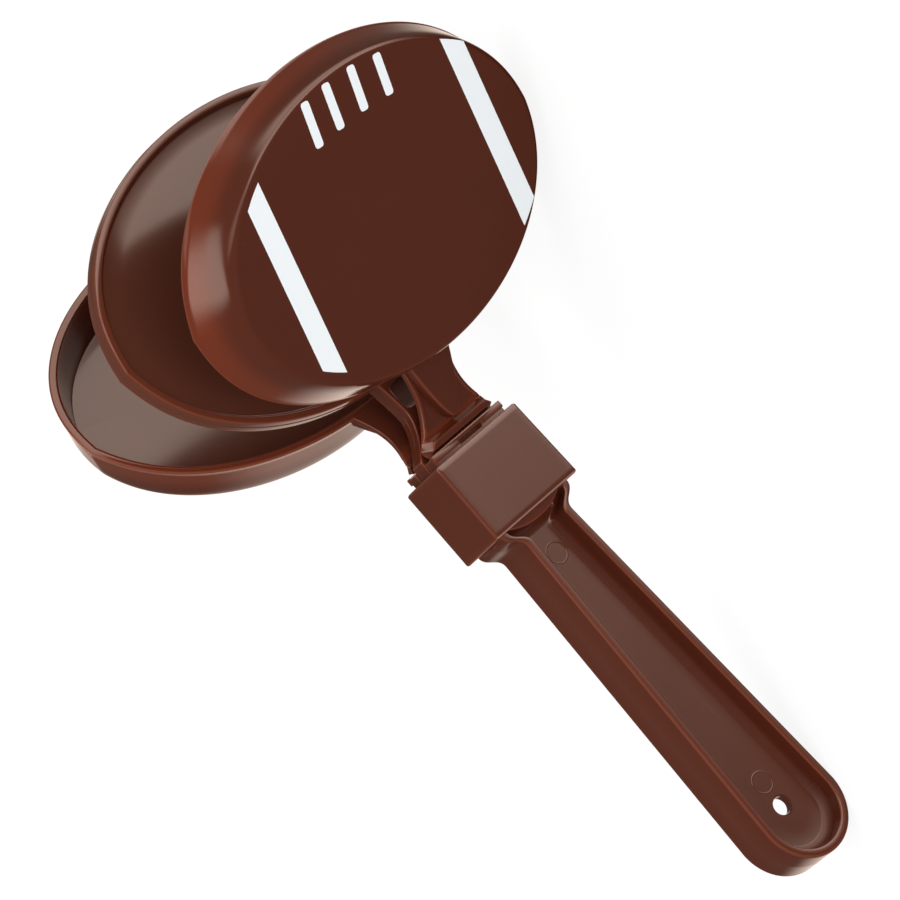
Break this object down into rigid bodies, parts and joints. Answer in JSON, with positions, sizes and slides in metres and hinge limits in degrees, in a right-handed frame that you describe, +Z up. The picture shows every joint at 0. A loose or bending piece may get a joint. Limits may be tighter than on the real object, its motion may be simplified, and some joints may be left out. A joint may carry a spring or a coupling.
{
  "type": "hand clapper",
  "caption": "Football-shaped plastic hand clapper: two hollow shells on film hinges swing against a flat middle paddle that is one moulding with the grip.",
  "frame": {"origin": "bottom centre of the bounding box, on the surface that the clapper lies on", "axes": "+Z up from the surface; +X towards the paddles along the handle, which rises 14.7 degrees from the surface; -Y is the printed front"},
  "size_m": [0.1998, 0.1032, 0.1011],
  "materials": {
    "brown_plastic": "dark red-brown moulded plastic with a soft gloss, slightly see-through at thin walls"
  },
  "bodies": {
    "handle": {"handle": "brown_plastic", "collar": "brown_plastic", "front_hinge_tab": "brown_plastic", "rear_hinge_tab": "brown_plastic"},
    "front_shell": {"front_shell": "brown_plastic"},
    "rear_shell": {"rear_shell": "brown_plastic"}
  },
  "joints": [
    {"name": "front_hinge", "type": "hinge", "parent": "handle", "child": "front_shell", "pos_m": [0.0125, -0.004, 0.03771], "axis": [0.2529, 0, -0.9675], "range_deg": [-27.5, 10], "stiffness_Nm_per_rad": 0.08},
    {"name": "rear_hinge", "type": "hinge", "parent": "handle", "child": "rear_shell", "pos_m": [0.0125, 0.004, 0.03771], "axis": [-0.2529, 0, 0.9675], "range_deg": [-27.5, 10], "stiffness_Nm_per_rad": 0.08}
  ]
}
